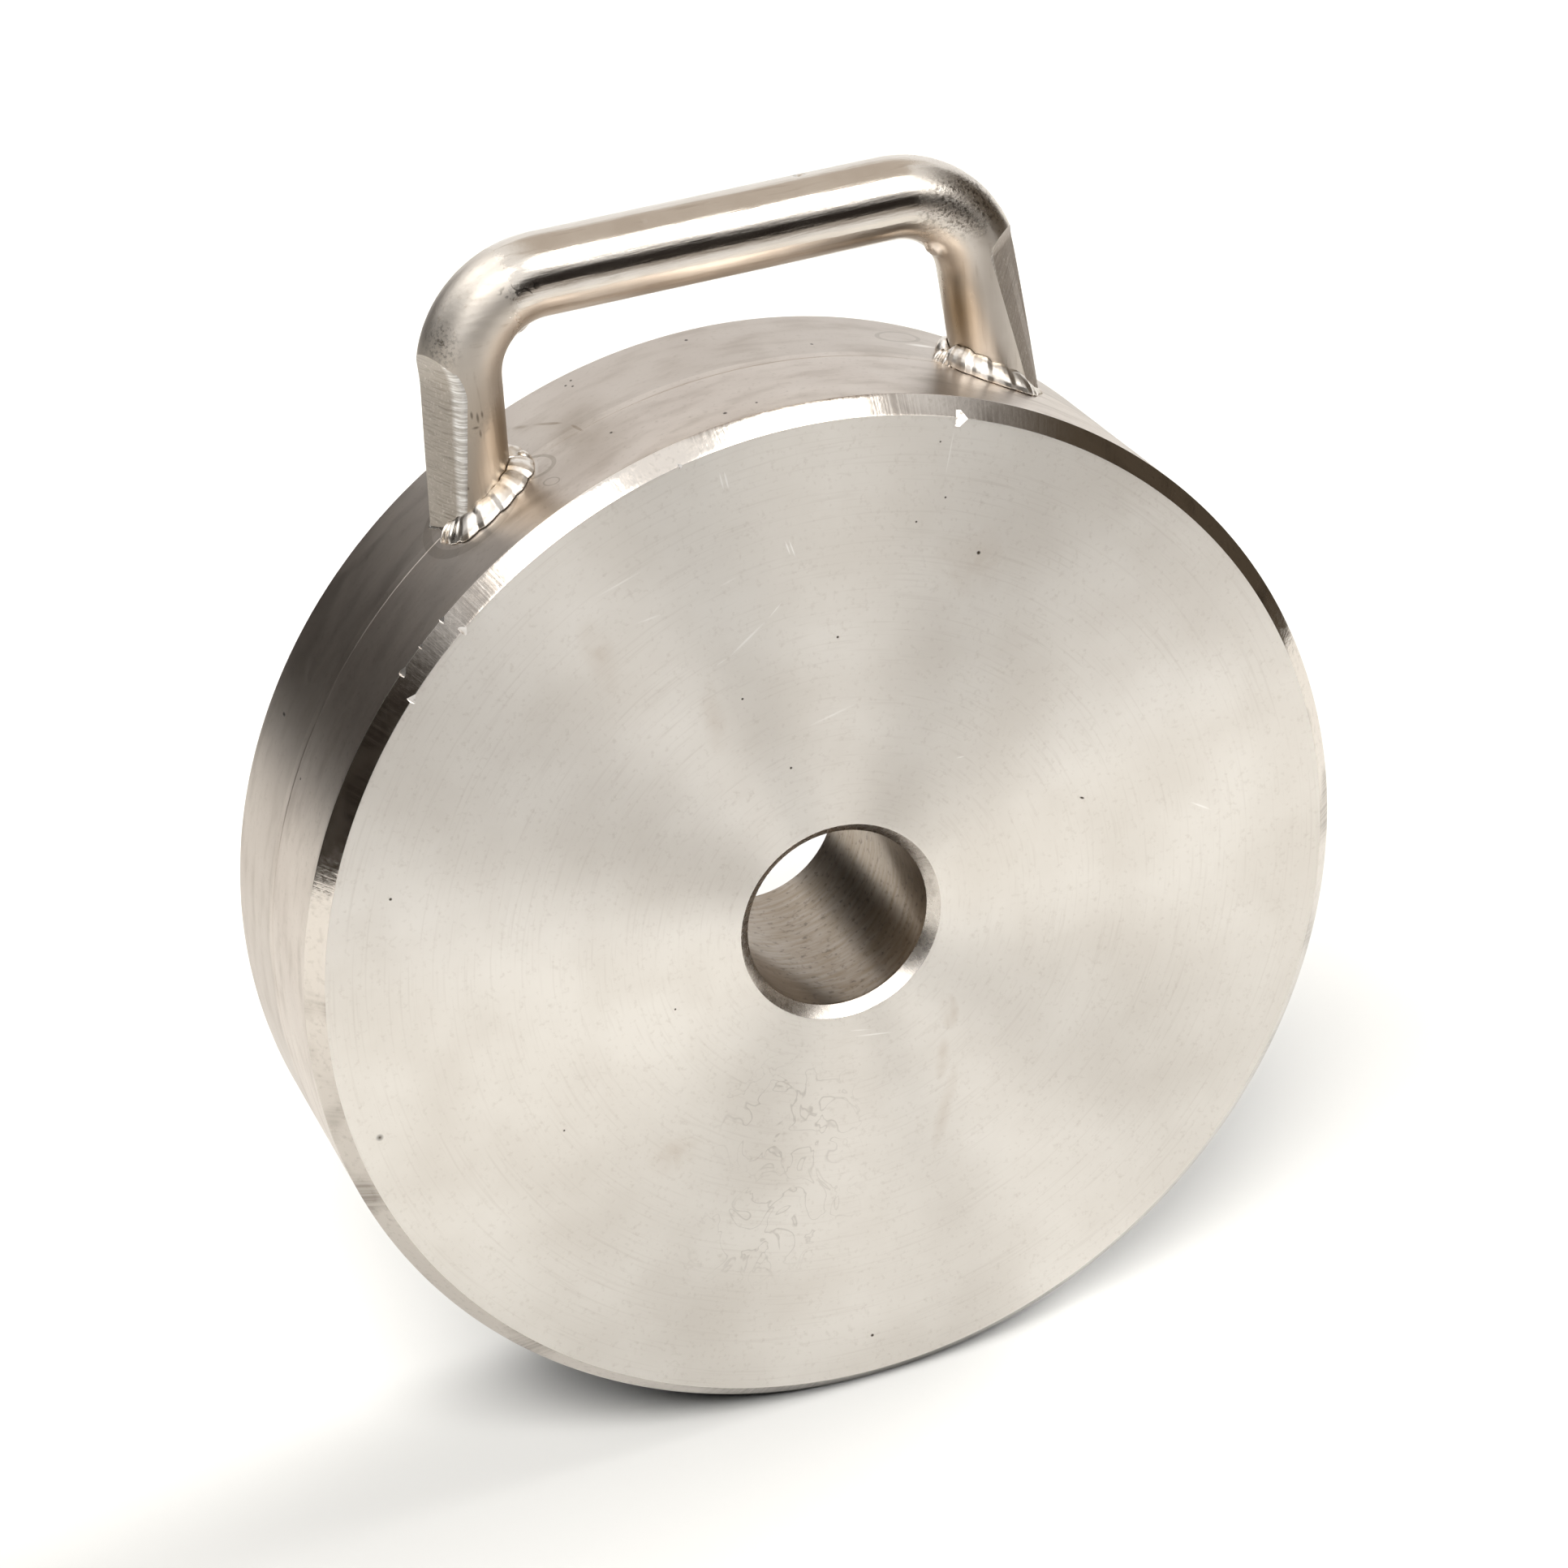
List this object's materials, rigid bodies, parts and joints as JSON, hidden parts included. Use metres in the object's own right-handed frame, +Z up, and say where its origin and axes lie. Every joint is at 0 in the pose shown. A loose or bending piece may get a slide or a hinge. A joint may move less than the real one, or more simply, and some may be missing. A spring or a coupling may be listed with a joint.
{
  "type": "counterweight",
  "caption": "Round steel counterweight: thick turned disc with a through bore and bevelled edges, and a bent round-bar carrying handle welded to its rim.",
  "frame": {"origin": "the lowest point of the disc's rim, halfway through its thickness, with the handle straight above", "axes": "+Z up through the handle, +Y along the bore from the front face to the back face, +X to the right seen from the front"},
  "size_m": [0.2, 0.052, 0.2321],
  "materials": {
    "disc_steel": "turned, then dull nickel plated, with fine scratches and handling marks",
    "handle_steel": "bent round bar, ground flats on the legs, bright nickel plated",
    "weld_steel": "rippled fillet weld, bright nickel plated"
  },
  "bodies": {
    "root": {"weight_disc": "disc_steel", "carry_handle": "handle_steel", "weld_left_front": "weld_steel", "weld_left_back": "weld_steel", "weld_right_front": "weld_steel", "weld_right_back": "weld_steel"}
  },
  "joints": []
}
